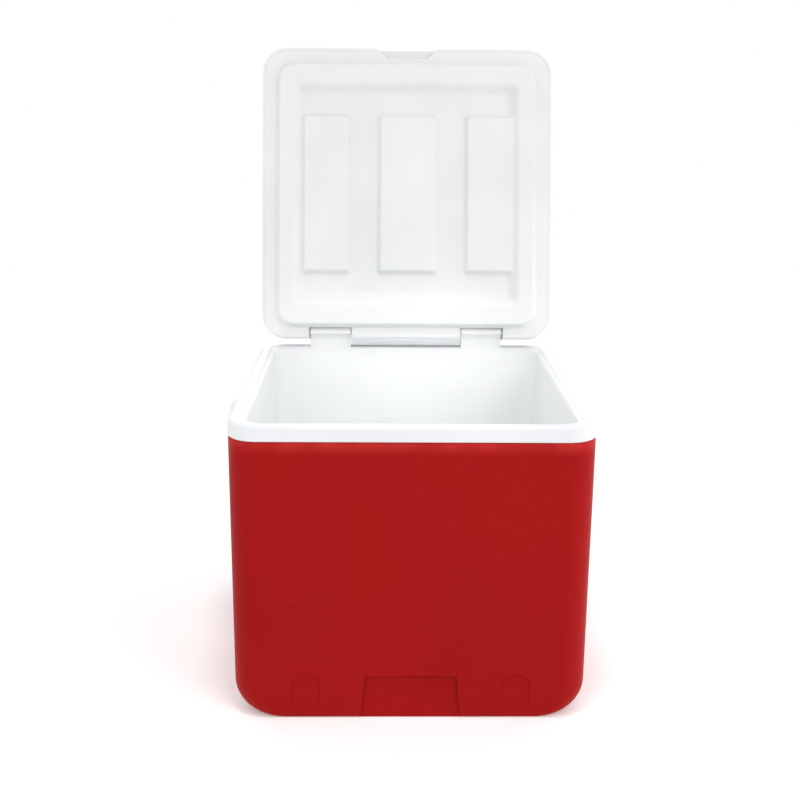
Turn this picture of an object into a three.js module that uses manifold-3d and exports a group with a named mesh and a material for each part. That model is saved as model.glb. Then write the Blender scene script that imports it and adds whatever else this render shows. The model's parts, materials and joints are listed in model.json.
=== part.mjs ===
// Insulated cooler box with a hinged lid, two side handles, a rear pull handle and two wheels.
// Units are millimetres. +Z is up, the front faces -Y, the origin is the centre of the flat base.
// The lid is drawn closed and then turned to its open rest position about the hinge line.
import * as THREE from 'three';
import { mergeVertices } from 'three/addons/utils/BufferGeometryUtils.js';
import Module from 'manifold-3d';

// ---- driving dimensions ----
const WIDTH = 380;                // plan size, measured over the collar
const DEPTH = 384;
const RIM_Z = 322.5;              // height of the rim above the ground
const COLLAR = 17.5;              // height of the white collar
const GAP = 0.3;                  // air between neighbouring pieces
const WALL = 3;                   // moulded wall thickness
const PLAN_R = 32;                // plan corner radius
const DRAFT = 2.2;                // inward taper of each side of the body over its height
const LID_THICK = 44.5;
const OPEN_ANGLE = 101;           // degrees from closed to the open rest position
const RIM_SIDE = 19;              // width of the rim at the sides
const RIM_FRONT = 14;
const RIM_REAR = 15;              // width of the rim under the hinge
const RIM_ROUND = 7;              // rounding of the inner edge of the rim
const WHEEL_R = 45;
const WHEEL_W = 34;

// ---- derived dimensions ----
const HALF = WIDTH / 2;
const HALF_Y = DEPTH / 2;
const OPENING_X = HALF - RIM_SIDE;
const OPENING_Y = (DEPTH - RIM_FRONT - RIM_REAR) / 2;
const TUB_SHIFT = (RIM_FRONT - RIM_REAR) / 2;  // centre line of the opening, measured towards the rear
const LID_SHIFT = 2;                           // centre line of the lid, measured towards the rear
const BODY_TOP = RIM_Z - COLLAR - GAP;
const INSET = 0.6;                // the body stands this far inside the collar
const BODY_X = HALF - INSET;
const BODY_Y = HALF_Y - INSET;
const LID_Z = RIM_Z + 0.5;
const LID_X = HALF - 1.5;
const LID_Y = HALF_Y - LID_SHIFT;
const AXIS_Y = HALF_Y - 9.5;      // lid hinge line
const AXIS_Z = RIM_Z + 18.2;
const FLOOR_Z = 30;               // inside floor of the tub
const TUB_DRAFT = 7;              // inward taper of each side of the tub over its depth
const STEP_Y = 94;                // the tub steps up over the wheels behind this line
const STEP_Z = 112;
const WHEEL_Y = 162;
const WHEEL_Z = WHEEL_R + 2;
const WHEEL_X = 153;              // centre plane of each wheel
const WELL_R = WHEEL_R + 7;
const WELL_X = WHEEL_X - WHEEL_W / 2 - 8;
const AXLE_R = 5;

const wasm = await Module();
wasm.setup();

// ---- solids ----
function toSolid(geometry) {
  const bare = geometry.index ? geometry.toNonIndexed() : geometry.clone();
  bare.deleteAttribute('normal');
  bare.deleteAttribute('uv');
  const merged = mergeVertices(bare, 1e-4);
  const mesh = new wasm.Mesh({
    numProp: 3,
    vertProperties: new Float32Array(merged.attributes.position.array),
    triVerts: new Uint32Array(merged.index.array),
  });
  mesh.merge();
  return new wasm.Manifold(mesh);
}

function toGeometry(solid) {
  const mesh = solid.getMesh();
  const geometry = new THREE.BufferGeometry();
  geometry.setAttribute('position', new THREE.BufferAttribute(new Float32Array(mesh.vertProperties), 3));
  geometry.setIndex(new THREE.BufferAttribute(new Uint32Array(mesh.triVerts), 1));
  geometry.computeVertexNormals();
  return geometry;
}

const join = (...solids) => solids.reduce((total, solid) => total.add(solid));
const cut = (base, ...tools) => tools.reduce((total, tool) => total.subtract(tool), base);

// One horizontal ring of a rounded rectangle centred on (0, cy).
function ring(halfX, halfY, radius, z, cy = 0, steps = 5) {
  const points = [];
  const corners = [[1, 1, 0], [-1, 1, 90], [-1, -1, 180], [1, -1, 270]];
  for (const [sx, sy, start] of corners) {
    for (let i = 0; i <= steps; i += 1) {
      const angle = THREE.MathUtils.degToRad(start + (90 * i) / steps);
      points.push([
        sx * (halfX - radius) + radius * Math.cos(angle),
        cy + sy * (halfY - radius) + radius * Math.sin(angle),
        z,
      ]);
    }
  }
  return points;
}

// Closed solid through a stack of equal rings, from the lowest to the highest.
function loft(rings) {
  const count = rings[0].length;
  const position = rings.flat(2);
  const index = [];
  for (let level = 0; level + 1 < rings.length; level += 1) {
    for (let i = 0; i < count; i += 1) {
      const a = level * count + i;
      const b = level * count + ((i + 1) % count);
      index.push(a, b, b + count, a, b + count, a + count);
    }
  }
  const top = (rings.length - 1) * count;
  for (let i = 1; i + 1 < count; i += 1) {
    index.push(0, i + 1, i);
    index.push(top, top + i, top + i + 1);
  }
  const geometry = new THREE.BufferGeometry();
  geometry.setAttribute('position', new THREE.Float32BufferAttribute(position, 3));
  geometry.setIndex(index);
  return toSolid(geometry);
}

function box(x0, x1, y0, y1, z0, z1) {
  const geometry = new THREE.BoxGeometry(x1 - x0, y1 - y0, z1 - z0);
  geometry.translate((x0 + x1) / 2, (y0 + y1) / 2, (z0 + z1) / 2);
  return toSolid(geometry);
}

// Solid of revolution about X; the profile is a closed list of [radius, x] pairs, ending where it starts.
function turnedX(profile, y, z, segments = 32) {
  const points = profile.map(([radius, x]) => new THREE.Vector2(radius, -x)).reverse();
  const geometry = new THREE.LatheGeometry(points, segments);
  geometry.rotateZ(Math.PI / 2);
  geometry.translate(0, y, z);
  return toSolid(geometry);
}

function rodX(x0, x1, y, z, radius, segments = 32) {
  const geometry = new THREE.CylinderGeometry(radius, radius, x1 - x0, segments);
  geometry.rotateZ(Math.PI / 2);
  geometry.translate((x0 + x1) / 2, y, z);
  return toSolid(geometry);
}

function rodY(y0, y1, x, z, radius, segments = 32) {
  const geometry = new THREE.CylinderGeometry(radius, radius, y1 - y0, segments);
  geometry.translate(x, (y0 + y1) / 2, z);
  return toSolid(geometry);
}

function tubeX(x0, x1, y, z, outer, inner, segments = 32) {
  return cut(rodX(x0, x1, y, z, outer, segments), rodX(x0 - 1, x1 + 1, y, z, inner, segments));
}

// Straight prism along X with an outline given as [y, z] pairs.
function prismX(x0, x1, outline) {
  const shape = new THREE.Shape(outline.map(([y, z]) => new THREE.Vector2(y, z)));
  const geometry = new THREE.ExtrudeGeometry(shape, { depth: x1 - x0, bevelEnabled: false });
  geometry.rotateX(Math.PI / 2);
  geometry.rotateZ(Math.PI / 2);
  geometry.translate(x0, 0, 0);
  return toSolid(geometry);
}

// Straight prism along Y with an outline given as a THREE.Shape in x and z.
function prismY(y0, y1, shape) {
  const options = { depth: y1 - y0, bevelEnabled: false, curveSegments: 5 };
  const geometry = new THREE.ExtrudeGeometry(shape, options);
  geometry.rotateX(Math.PI / 2);
  geometry.translate(0, y1, 0);
  return toSolid(geometry);
}

const mirrorX = (solid) => solid.mirror([1, 0, 0]);

// ---- materials and nodes ----
const RED = { color: 0xa31d1f, roughness: 0.42, metalness: 0 };
const WHITE = { color: 0xeef1f1, roughness: 0.45, metalness: 0 };
const FOAM = { color: 0xe9dfae, roughness: 0.95, metalness: 0 };
const BLACK = { color: 0x1b1c1e, roughness: 0.75, metalness: 0 };
const GREY = { color: 0x54585c, roughness: 0.55, metalness: 0 };
const STEEL = { color: 0xb9bdc1, roughness: 0.3, metalness: 1 };
const RUBBER = { color: 0x202122, roughness: 0.9, metalness: 0 };

const group = new THREE.Group();
group.name = 'wheeled_cooler';

function addNode(name, solid, look) {
  const mesh = new THREE.Mesh(toGeometry(solid), new THREE.MeshStandardMaterial(look));
  mesh.name = name;
  group.add(mesh);
}

// ---- body ----
const BOTTOM_ROUND_X = 34;        // rounding of the lower side edges
const BOTTOM_ROUND_Y = 6;         // rounding of the lower front and back edges
const LIP = { height: 4, pull: 1.8, steps: 3 };   // rounded lip of the body under the collar

// Outside of the body, moved inward by `inset`.
function bodyEnvelope(inset, topZ) {
  const rings = [];
  const steps = 5;
  for (let i = 0; i <= steps; i += 1) {
    const angle = ((Math.PI / 2) * i) / steps;
    const lift = 1 - Math.cos(angle);
    const pull = 1 - Math.sin(angle);
    const halfX = BODY_X - DRAFT - BOTTOM_ROUND_X * pull - inset;
    const halfY = BODY_Y - DRAFT - BOTTOM_ROUND_Y * pull - inset;
    const radius = PLAN_R - BOTTOM_ROUND_Y * pull - inset;
    rings.push(ring(halfX, halfY, radius, inset + (BOTTOM_ROUND_X - inset) * lift));
  }
  rings.push(ring(BODY_X - inset, BODY_Y - inset, PLAN_R - inset, BODY_TOP - LIP.height));
  if (inset > 0) {
    rings.push(ring(BODY_X - inset, BODY_Y - inset, PLAN_R - inset, topZ));
    return loft(rings);
  }
  for (let i = 1; i <= LIP.steps; i += 1) {
    const angle = ((Math.PI / 2) * i) / LIP.steps;
    const pull = LIP.pull * (1 - Math.cos(angle));
    const z = BODY_TOP - LIP.height * (1 - Math.sin(angle));
    rings.push(ring(BODY_X - pull, BODY_Y - pull, PLAN_R - pull, z));
  }
  return loft(rings);
}

function wheelWell(extra) {
  return rodX(WELL_X - extra, HALF + 20, WHEEL_Y, WHEEL_Z, WELL_R + extra, 36);
}

// Shallow relief in the lower front edge, open at the bottom.
const RELIEF = { topHalf: 49, footHalf: 53, top: 50, depth: 4 };
const ARCH = { x: 110.5, half: 15.5, top: 51, round: 12, depth: 1.4 };
const BELOW = -10;                // height at which the cutting tools start, under the base

function baseRelief(extra) {
  const topHalf = RELIEF.topHalf + extra;
  const footHalf = RELIEF.footHalf + extra;
  const top = RELIEF.top + extra;
  const shape = new THREE.Shape();
  shape.moveTo(-footHalf, BELOW);
  shape.lineTo(footHalf, BELOW);
  shape.lineTo(topHalf, top);
  shape.lineTo(-topHalf, top);
  shape.closePath();
  return prismY(-HALF_Y - 10, -BODY_Y + DRAFT + RELIEF.depth + extra, shape);
}

// Small arched relief either side of the middle one.
function baseArch(centre, extra) {
  const half = ARCH.half + extra;
  const top = ARCH.top + extra;
  const round = ARCH.round;
  const shape = new THREE.Shape();
  shape.moveTo(centre - half, BELOW);
  shape.lineTo(centre + half, BELOW);
  shape.lineTo(centre + half, top - round);
  shape.absarc(centre + half - round, top - round, round, 0, Math.PI / 2, false);
  shape.absarc(centre - half + round, top - round, round, Math.PI / 2, Math.PI, false);
  shape.closePath();
  return prismY(-HALF_Y - 10, -BODY_Y + DRAFT + ARCH.depth + extra, shape);
}

const POCKET = { halfY: 46, bottom: 170, top: 244, depth: 10 };
const DRAIN = { y: 48, z: 48, hole: 13, bore: 9, from: 140 };
const HANDLE_PIN_Z = 271;

function handlePocket(extra) {
  return box(BODY_X - POCKET.depth - extra, HALF + 10, -POCKET.halfY - extra, POCKET.halfY + extra,
    POCKET.bottom - extra, POCKET.top + extra);
}

function hollows(extra) {
  return join(wheelWell(extra), mirrorX(wheelWell(extra)), baseRelief(extra), baseArch(-ARCH.x, extra),
    baseArch(ARCH.x, extra), handlePocket(extra), mirrorX(handlePocket(extra)));
}

// Screws that hold the handle bosses and the rear brackets to the shell.
const SCREW = { shank: 2.2, head: 4.6, headThick: 2.6, depth: 9, slotHalf: 3, slotWide: 0.6, slotFrom: 1.2 };
const SCREW_SPREAD = 15;          // half the distance between the two screws of a boss or bracket
const TOW = { x: 92, y: HALF_Y + 20, z: 278, armX: 70, armHalf: 7, length: 228, gripR: 11, eye: 9, barR: 5 };

function screwHoles(radius) {
  const tools = [];
  for (const dz of [-SCREW_SPREAD, SCREW_SPREAD]) {
    const side = rodX(BODY_X - SCREW.depth - 1, HALF + 4, 0, HANDLE_PIN_Z + dz, radius, 10);
    const rear = rodY(BODY_Y - SCREW.depth - 1, HALF_Y + 4, TOW.x, TOW.z + dz, radius, 10);
    tools.push(side, mirrorX(side), rear, mirrorX(rear));
  }
  return join(...tools);
}

const AXLE_TUNNEL_R = 8;
const axleTunnel = (extra) => rodX(-HALF, HALF, WHEEL_Y, WHEEL_Z, AXLE_TUNNEL_R + extra);
const drainTunnel = (extra) => rodX(DRAIN.from, HALF + 10, DRAIN.y, DRAIN.z, DRAIN.hole + extra);

const shellInside = cut(bodyEnvelope(WALL, BODY_TOP + 1), hollows(WALL));
const bodyShell = cut(bodyEnvelope(0, BODY_TOP), shellInside, hollows(0), axleTunnel(0), drainTunnel(0),
  screwHoles(SCREW.shank + GAP));
addNode('body_shell', bodyShell, RED);

// ---- tub with collar and hinge lugs ----
const TUB_R = 24;                 // vertical corner radius inside

function tubSpace(grow) {
  const rings = [];
  const level = (out, z) => ring(OPENING_X + out + grow, OPENING_Y + out + grow, TUB_R + grow, z, TUB_SHIFT);
  const round = 14;
  for (let i = 0; i <= 2; i += 1) {
    const angle = (Math.PI / 4) * i;
    const out = -TUB_DRAFT - round * (1 - Math.sin(angle));
    rings.push(level(out, FLOOR_Z - grow + round * (1 - Math.cos(angle))));
  }
  for (let i = 0; i <= 3; i += 1) {
    const angle = (Math.PI / 6) * i;
    const z = RIM_Z - RIM_ROUND + RIM_ROUND * Math.sin(angle);
    rings.push(level(RIM_ROUND * (1 - Math.cos(angle)), z));
  }
  rings.push(level(RIM_ROUND, RIM_Z + 1));
  const step = box(-HALF, HALF, STEP_Y + grow, HALF_Y, 0, STEP_Z - grow);
  return cut(loft(rings), step);
}

function collarRing() {
  const rings = [ring(HALF, HALF_Y, PLAN_R + 1, RIM_Z - COLLAR)];
  const round = 4.5;
  for (let i = 0; i <= 3; i += 1) {
    const angle = ((Math.PI / 2) * i) / 3;
    const pull = round * (1 - Math.cos(angle));
    rings.push(ring(HALF - pull, HALF_Y - pull, PLAN_R + 1 - pull, RIM_Z - round + round * Math.sin(angle)));
  }
  return loft(rings);
}

const LUG_X = 99;
const LUG_HALF = 26.5;
const LUG_R = 13.5;
const PIN_R = 4;

function lug() {
  const front = HALF_Y - RIM_REAR + 1;
  const foot = [[front, RIM_Z - 4], [HALF_Y + 3, RIM_Z - 4], [AXIS_Y + LUG_R, AXIS_Z], [front, AXIS_Z]];
  const barrel = rodX(LUG_X - LUG_HALF, LUG_X + LUG_HALF, AXIS_Y, AXIS_Z, LUG_R, 28);
  const pinHole = rodX(LUG_X - LUG_HALF - 1, LUG_X + LUG_HALF + 1, AXIS_Y, AXIS_Z, PIN_R + GAP, 16);
  return cut(join(barrel, prismX(LUG_X - LUG_HALF, LUG_X + LUG_HALF, foot)), pinHole);
}

const tubOuter = tubSpace(WALL).intersect(box(-HALF, HALF, -HALF_Y, HALF_Y, 0, RIM_Z - 1));
const tub = join(cut(join(collarRing(), tubOuter), tubSpace(0)), lug(), mirrorX(lug()));
addNode('liner_tub', cut(tub, rodX(DRAIN.from, HALF, DRAIN.y, DRAIN.z, DRAIN.hole)), WHITE);

// ---- insulation between shell and tub ----
const foamOuter = cut(bodyEnvelope(WALL + GAP, BODY_TOP - 1), hollows(WALL + GAP));
addNode('body_foam', cut(foamOuter, tubSpace(WALL + GAP), axleTunnel(0.5), drainTunnel(0.5),
  screwHoles(SCREW.shank + 1)), FOAM);

// ---- lid, drawn closed ----
const LID_TOP = LID_Z + LID_THICK;
const KNUCKLE_HALF = 71;
const KNUCKLE_R = 17.5;
const PLUG_X = OPENING_X - 2.5;   // half width of the plug
const PLUG_Y = 173.5;
const PLUG_DROP = 10;
const FLANGE_TOP = LID_Z + WALL;
const NOTCH_LOW_Y = LID_SHIFT + PLUG_Y + 0.8;

function lidEnvelope(inset, bottomZ) {
  const rings = [];
  const round = 14;
  rings.push(ring(LID_X - inset, LID_Y - inset, PLAN_R - inset, bottomZ, LID_SHIFT));
  for (let i = 0; i <= 4; i += 1) {
    const angle = ((Math.PI / 2) * i) / 4;
    const pull = inset + (round - inset) * (1 - Math.cos(angle));
    const z = LID_TOP - round + (round - inset) * Math.sin(angle);
    rings.push(ring(LID_X - pull, LID_Y - pull, PLAN_R - pull, z, LID_SHIFT));
  }
  return loft(rings);
}

// Notch for a hinge lug: shallow beside the plug, deeper above the lid liner where the lug is round.
function lugNotch(extra) {
  const reach = LUG_HALF + 1.2 + extra;
  const lowY = NOTCH_LOW_Y - Math.max(extra - WALL, 0);
  const low = box(LUG_X - reach, LUG_X + reach, lowY, HALF_Y + 30, LID_Z - 20, FLANGE_TOP + 1);
  const high = box(LUG_X - reach, LUG_X + reach, AXIS_Y - LUG_R - 1.8 - extra, HALF_Y + 30, FLANGE_TOP + GAP,
    LID_TOP + 20);
  return join(low, high);
}

// Finger scoop in the front edge, wide at the edge and narrow inside.
const SCOOP = { mouthHalf: 48, backHalf: 27, depth: 13, height: 22 };

function frontScoop(extra) {
  const front = LID_SHIFT - LID_Y - 9;
  const back = LID_SHIFT - LID_Y + SCOOP.depth + extra;
  const below = 10;
  const shape = new THREE.Shape();
  shape.moveTo(-SCOOP.mouthHalf - extra, front);
  shape.lineTo(SCOOP.mouthHalf + extra, front);
  shape.lineTo(SCOOP.backHalf + extra, back);
  shape.lineTo(-SCOOP.backHalf - extra, back);
  shape.closePath();
  const depth = below + SCOOP.height + extra;
  const geometry = new THREE.ExtrudeGeometry(shape, { depth, bevelEnabled: false });
  geometry.translate(0, 0, LID_Z - below);
  return toSolid(geometry);
}

function lidHollows(extra) {
  return join(lugNotch(extra), mirrorX(lugNotch(extra)), frontScoop(extra));
}

// Flat-topped pyramid block, base at z0 with half sizes bx, by and face at z1 with half sizes tx, ty.
function frustum(cx, bx, by, z0, tx, ty, z1, radius) {
  const lower = ring(bx, by, radius, z0).map(([x, y, z]) => [x + cx, y + LID_SHIFT, z]);
  const upper = ring(tx, ty, radius, z1).map(([x, y, z]) => [x + cx, y + LID_SHIFT, z]);
  return z0 < z1 ? loft([lower, upper]) : loft([upper, lower]);
}

const PLUG_Z = LID_Z - PLUG_DROP;
const RECESS_Z = LID_Z + 2;       // ceiling of the shallow recess in the plug
const PANEL_Z = LID_Z - 5;        // face of the three raised panels
const RECESS = { halfX: 146, halfY: 144, slope: 16, corner: 10 };
const PANEL = { faceY: 100, footY: 107, corner: 3 };
const PANELS = [                  // centre, half width of the face and of the foot
  [0, 35, 42],
  [-107.5, 29.5, 36],
  [107.5, 29.5, 36],
];

// The recess, widened by `grow`, from `fromZ` up to `toZ`.
function recessBlock(grow, fromZ, toZ) {
  const { halfX, halfY, slope, corner } = RECESS;
  return frustum(0, halfX + grow, halfY + grow, fromZ,
    halfX - slope + grow, halfY - slope + grow, toZ, corner);
}

// The raised panels, narrowed by `inset`, from their faces up to `toZ`.
function panelBlocks(inset, toZ) {
  return PANELS.map(([cx, face, foot]) => frustum(cx, face - inset, PANEL.faceY - inset, PANEL_Z + inset,
    foot - inset, PANEL.footY - inset, toZ, PANEL.corner));
}

// Everything above the moulded underside, moved up and inward by `inset`.
function plugSolid(inset) {
  const top = inset > 0 ? FLANGE_TOP + inset : LID_Z + 0.5;
  const plug = frustum(0, PLUG_X - 1.5 - inset, PLUG_Y - 1.5 - inset, PLUG_Z + inset,
    PLUG_X - inset, PLUG_Y - inset, top, 20 - inset);
  return join(cut(plug, recessBlock(inset, PLUG_Z - 1, RECESS_Z + inset)), ...panelBlocks(inset, top));
}

const lidAxis = { y: AXIS_Y, z: AXIS_Z };
const knuckle = rodX(-KNUCKLE_HALF, KNUCKLE_HALF, AXIS_Y, AXIS_Z, KNUCKLE_R, 32);
const HINGE_PIN = { from: 60, to: 134, spare: 4 };
const lidPinHole = (side) => {
  const { from, to, spare } = HINGE_PIN;
  const hole = rodX(from - spare, to + spare, AXIS_Y, AXIS_Z, PIN_R + GAP, 16);
  return side < 0 ? mirrorX(hole) : hole;
};

// Rounds the lower rear edge so that it clears the rim while the lid turns.
function rearRelief() {
  const corner = box(-HALF, HALF, AXIS_Y, HALF_Y + 10, LID_Z - 1, AXIS_Z);
  return cut(corner, rodX(-HALF - 1, HALF + 1, AXIS_Y, AXIS_Z, AXIS_Z - LID_Z, 64));
}

// Solid material around the pins: an outer block past each lug, and the knuckle between the lugs.
const PIN_BLOCK = { from: 127.7, to: 140, radius: 9 };
const pinBlocks = (grow) => {
  const { from, to, radius } = PIN_BLOCK;
  const block = rodX(from - grow, to + grow, AXIS_Y, AXIS_Z, radius + grow, 20);
  return join(block, mirrorX(block), rodX(-KNUCKLE_HALF, KNUCKLE_HALF, AXIS_Y, AXIS_Z, KNUCKLE_R + grow, 32));
};

const lidInside = cut(lidEnvelope(WALL, LID_Z - 1), lidHollows(WALL), pinBlocks(0));
const lidShell = cut(join(cut(lidEnvelope(0, LID_Z), lidInside), knuckle), lidHollows(0), rearRelief(),
  lidPinHole(1), lidPinHole(-1));
const insideLid = cut(lidEnvelope(WALL + GAP, LID_Z - 1), lidHollows(WALL + GAP), pinBlocks(GAP),
  rearRelief());
const flange = insideLid.intersect(box(-HALF, HALF, -HALF_Y, HALF_Y, LID_Z, FLANGE_TOP));
const recessRoof = recessBlock(WALL, LID_Z - 1, RECESS_Z + WALL);
const recessVoid = recessBlock(0, PLUG_Z - 1, RECESS_Z);
const linerSkin = join(cut(join(plugSolid(0), flange, recessRoof), recessVoid),
  ...panelBlocks(0, RECESS_Z + WALL));
const lidLiner = cut(linerSkin, plugSolid(WALL));
const foamSpace = insideLid.intersect(box(-HALF, HALF, -HALF_Y, HALF_Y, FLANGE_TOP + GAP, LID_TOP));
const lidFoam = cut(foamSpace, recessBlock(WALL + GAP, LID_Z - 1, RECESS_Z + WALL + GAP));

function opened(solid) {
  return solid.translate([0, -lidAxis.y, -lidAxis.z]).rotate([-OPEN_ANGLE, 0, 0])
    .translate([0, lidAxis.y, lidAxis.z]);
}

addNode('lid_shell', opened(lidShell), WHITE);
addNode('lid_liner', opened(lidLiner), WHITE);
addNode('lid_foam', opened(lidFoam), FOAM);

const hingePin = rodX(HINGE_PIN.from, HINGE_PIN.to, AXIS_Y, AXIS_Z, PIN_R, 16);
addNode('hinge_pin_right', hingePin, STEEL);
addNode('hinge_pin_left', mirrorX(hingePin), STEEL);

// ---- side handles ----
const BOSS_R = 25;
const BOSS_FACE = HALF + 18;      // outer face of the boss
const PIVOT_X = HALF + 9.5;
const HANDLE_PIN_R = 3;
const LOOP = {
  half: 37, inner: 27.5, foot: 184, thick: 10, eye: 8, round: 16, innerRound: 10, gripHeight: 14,
};

function screwX(x, y, z) {
  const head = rodX(x, x + SCREW.headThick, y, z, SCREW.head, 14);
  const shank = rodX(BODY_X - SCREW.depth, x + 0.5, y, z, SCREW.shank, 10);
  const { slotHalf, slotWide, slotFrom } = SCREW;
  const drive = box(x + slotFrom, x + 5, y - slotHalf, y + slotHalf, z - slotWide, z + slotWide);
  const cross = box(x + slotFrom, x + 5, y - slotWide, y + slotWide, z - slotHalf, z + slotHalf);
  return cut(join(head, shank), drive, cross);
}

function handleBoss() {
  const base = BODY_X + GAP;
  const profile = [[0, base], [BOSS_R, base], [BOSS_R, BOSS_FACE - 5], [BOSS_R - 1.5, BOSS_FACE - 1.5],
    [BOSS_R - 5, BOSS_FACE], [0, BOSS_FACE]];
  const boss = turnedX(profile, 0, HANDLE_PIN_Z, 32);
  const bore = rodY(-BOSS_R - 1, BOSS_R + 1, PIVOT_X, HANDLE_PIN_Z, HANDLE_PIN_R + GAP, 14);
  const seats = [-SCREW_SPREAD, SCREW_SPREAD].map((dz) => join(
    rodX(BOSS_FACE - 4, BOSS_FACE + 1, 0, HANDLE_PIN_Z + dz, SCREW.head + 0.4, 14),
    rodX(base - 1, BOSS_FACE, 0, HANDLE_PIN_Z + dz, SCREW.shank + GAP, 10),
  ));
  return cut(boss, bore, ...seats);
}

// Stirrup loop that hangs from the boss pin.
function handleLoop() {
  const { half, inner, foot, thick, eye, round, innerRound, gripHeight } = LOOP;
  const arm = (half - inner) / 2;
  const bevel = 2;
  const shape = new THREE.Shape();
  const outer = half - bevel;
  const hollow = inner + bevel;
  const topZ = HANDLE_PIN_Z;
  const innerZ = foot + gripHeight + innerRound;
  shape.moveTo(-outer, foot + round);
  shape.absarc(-outer + round, foot + bevel + round, round, Math.PI, Math.PI * 1.5, false);
  shape.absarc(outer - round, foot + bevel + round, round, Math.PI * 1.5, Math.PI * 2, false);
  shape.lineTo(outer, topZ);
  shape.lineTo(hollow, topZ);
  shape.absarc(hollow - innerRound, innerZ, innerRound, 0, -Math.PI / 2, true);
  shape.absarc(-hollow + innerRound, innerZ, innerRound, -Math.PI / 2, -Math.PI, true);
  shape.lineTo(-hollow, topZ);
  shape.lineTo(-outer, topZ);
  shape.closePath();
  const geometry = new THREE.ExtrudeGeometry(shape, {
    depth: thick - 2 * bevel, bevelEnabled: true, bevelSize: bevel, bevelThickness: bevel, bevelSegments: 1,
    curveSegments: 3,
  });
  geometry.rotateX(Math.PI / 2);
  geometry.rotateZ(Math.PI / 2);
  geometry.translate(PIVOT_X - thick / 2 + bevel, 0, 0);
  const eyes = [-1, 1].map((side) => {
    const y = side * (half + inner) / 2;
    return rodY(y - arm, y + arm, PIVOT_X, HANDLE_PIN_Z, eye, 18);
  });
  const bore = rodY(-half - 1, half + 1, PIVOT_X, HANDLE_PIN_Z, HANDLE_PIN_R + GAP, 14);
  return cut(join(toSolid(geometry), ...eyes), bore);
}

const boss = handleBoss();
const loop = handleLoop();
const handlePin = rodY(-LOOP.half - 1, LOOP.half + 1, PIVOT_X, HANDLE_PIN_Z, HANDLE_PIN_R, 14);
const sides = [['right', (solid) => solid], ['left', mirrorX]];
for (const [side, place] of sides) {
  addNode(`handle_boss_${side}`, place(boss), WHITE);
  addNode(`handle_loop_${side}`, place(loop), WHITE);
  addNode(`handle_pin_${side}`, place(handlePin), STEEL);
  for (const [level, dz] of [['upper', SCREW_SPREAD], ['lower', -SCREW_SPREAD]]) {
    const screw = screwX(BOSS_FACE - 4 + GAP, 0, HANDLE_PIN_Z + dz);
    addNode(`handle_screw_${side}_${level}`, place(screw), STEEL);
  }
}

// ---- wheels ----
const HUB_R = 35;
const HUB = { nose: 11, drum: 31, windowAt: 21.5, windowR: 6.5 };
const HUB_IN = WELL_X + 6.3;
const HUB_OUT = WHEEL_X + WHEEL_W / 2 + 1.7;

function wheelHub() {
  const rimIn = WHEEL_X - WHEEL_W / 2 + 2;
  const rimOut = WHEEL_X + WHEEL_W / 2 - 2;
  const bore = AXLE_R + GAP;
  const web = 3;
  const { nose, drum, windowAt, windowR } = HUB;
  const profile = [[bore, HUB_IN], [nose, HUB_IN], [nose + 1, WHEEL_X - web], [drum - 1, WHEEL_X - web],
    [drum, rimIn], [HUB_R, rimIn], [HUB_R, rimOut], [drum, rimOut], [drum - 1, WHEEL_X + web],
    [nose + 2, WHEEL_X + web], [nose, HUB_OUT], [bore, HUB_OUT], [bore, HUB_IN]];
  const windows = [0, 1, 2, 3, 4].map((i) => {
    const angle = (i * 2 * Math.PI) / 5;
    const y = WHEEL_Y + windowAt * Math.cos(angle);
    const z = WHEEL_Z + windowAt * Math.sin(angle);
    return rodX(WHEEL_X - 8, WHEEL_X + 8, y, z, windowR, 12);
  });
  return cut(turnedX(profile, WHEEL_Y, WHEEL_Z, 28), ...windows);
}

function tyre() {
  const half = WHEEL_W / 2;
  const inner = HUB_R + GAP;
  const profile = [[inner, WHEEL_X - half + 2], [inner + 2, WHEEL_X - half], [WHEEL_R - 5, WHEEL_X - half],
    [WHEEL_R - 1.5, WHEEL_X - half + 2], [WHEEL_R, WHEEL_X - half + 6], [WHEEL_R, WHEEL_X + half - 6],
    [WHEEL_R - 1.5, WHEEL_X + half - 2], [WHEEL_R - 5, WHEEL_X + half], [inner + 2, WHEEL_X + half],
    [inner, WHEEL_X + half - 2], [inner, WHEEL_X - half + 2]];
  return turnedX(profile, WHEEL_Y, WHEEL_Z, 32);
}

function axleBush() {
  const sleeve = rodX(WELL_X - 6, WELL_X + 2, WHEEL_Y, WHEEL_Z, AXLE_TUNNEL_R - GAP, 24);
  const collar = rodX(WELL_X + GAP, WELL_X + 3, WHEEL_Y, WHEEL_Z, 12, 24);
  return cut(join(sleeve, collar), rodX(WELL_X - 10, WELL_X + 10, WHEEL_Y, WHEEL_Z, AXLE_R + GAP, 24));
}

const AXLE_END = HUB_OUT + 5;
const axleCap = cut(
  turnedX([[0, HUB_OUT + GAP], [10, HUB_OUT + GAP], [10, HUB_OUT + 5], [7, HUB_OUT + 7.5], [0, HUB_OUT + 8]],
    WHEEL_Y, WHEEL_Z, 24),
  rodX(HUB_OUT - 1, AXLE_END + GAP, WHEEL_Y, WHEEL_Z, AXLE_R + 0.2, 24),
);
const hub = wheelHub();
const tyreRing = tyre();
const bush = axleBush();
const washer = tubeX(WELL_X + 3 + GAP, HUB_IN - GAP, WHEEL_Y, WHEEL_Z, 10, AXLE_R + GAP, 24);
addNode('wheel_axle', rodX(-AXLE_END, AXLE_END, WHEEL_Y, WHEEL_Z, AXLE_R, 24), STEEL);
for (const [side, place] of sides) {
  addNode(`wheel_hub_${side}`, place(hub), GREY);
  addNode(`wheel_tyre_${side}`, place(tyreRing), RUBBER);
  addNode(`axle_bush_${side}`, place(bush), BLACK);
  addNode(`axle_washer_${side}`, place(washer), STEEL);
  addNode(`axle_cap_${side}`, place(axleCap), BLACK);
}

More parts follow.
